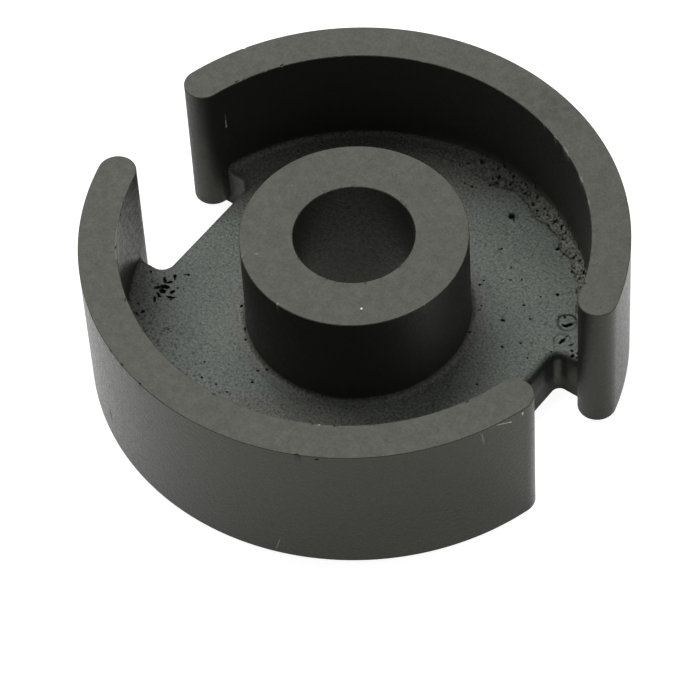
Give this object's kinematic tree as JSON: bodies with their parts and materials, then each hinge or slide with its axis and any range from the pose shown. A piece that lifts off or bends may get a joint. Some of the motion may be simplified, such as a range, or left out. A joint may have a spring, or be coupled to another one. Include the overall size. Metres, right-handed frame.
{
  "type": "ferrite pot core half",
  "caption": "Round half of a ferrite pot core: a cup with a bored centre post and two lead slots opposite each other.",
  "frame": {"origin": "centre of the back face, on the axis of the bore", "axes": "+Z along the bore, out of the open side of the cup; the two lead slots open along +X and -X"},
  "size_m": [0.0208, 0.0216, 0.0068],
  "materials": {
    "ferrite": "matte, sintered, with ground mating faces"
  },
  "bodies": {
    "root": {"core_half": "ferrite"}
  },
  "joints": []
}
